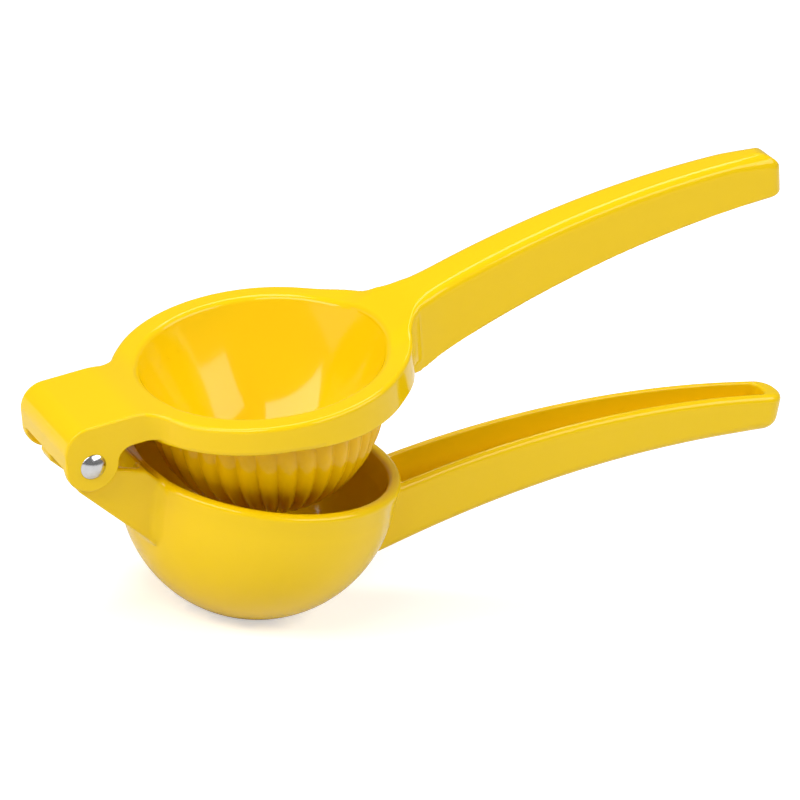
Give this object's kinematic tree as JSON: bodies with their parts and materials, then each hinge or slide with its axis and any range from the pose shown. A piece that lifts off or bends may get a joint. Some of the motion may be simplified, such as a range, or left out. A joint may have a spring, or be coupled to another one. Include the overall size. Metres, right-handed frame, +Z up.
{
  "type": "hinged lemon squeezer",
  "caption": "Hand squeezer with a fluted press cup on a hinged upper lever that swings into a round, perforated bowl on the lower lever; both levers end in curved channel handles.",
  "frame": {"origin": "middle of the flat foot under the bowl, on its lower face", "axes": "+X along the lower handle towards its tip, +Z up the bowl's axis, Y along the hinge rivet; the rivet is at the -X end"},
  "size_m": [0.2158, 0.0754, 0.1236],
  "materials": {
    "lemon_enamel": "glossy",
    "polished_steel": "polished"
  },
  "bodies": {
    "lower_lever": {"lower_lever": "lemon_enamel"},
    "upper_lever": {"upper_lever": "lemon_enamel", "hinge_rivet": "polished_steel"}
  },
  "joints": [
    {"name": "hinge", "type": "hinge", "parent": "lower_lever", "child": "upper_lever", "pos_m": [-0.0546, 0, 0.04686], "axis": [0, -1, 0], "range_deg": [-16, 50]}
  ]
}
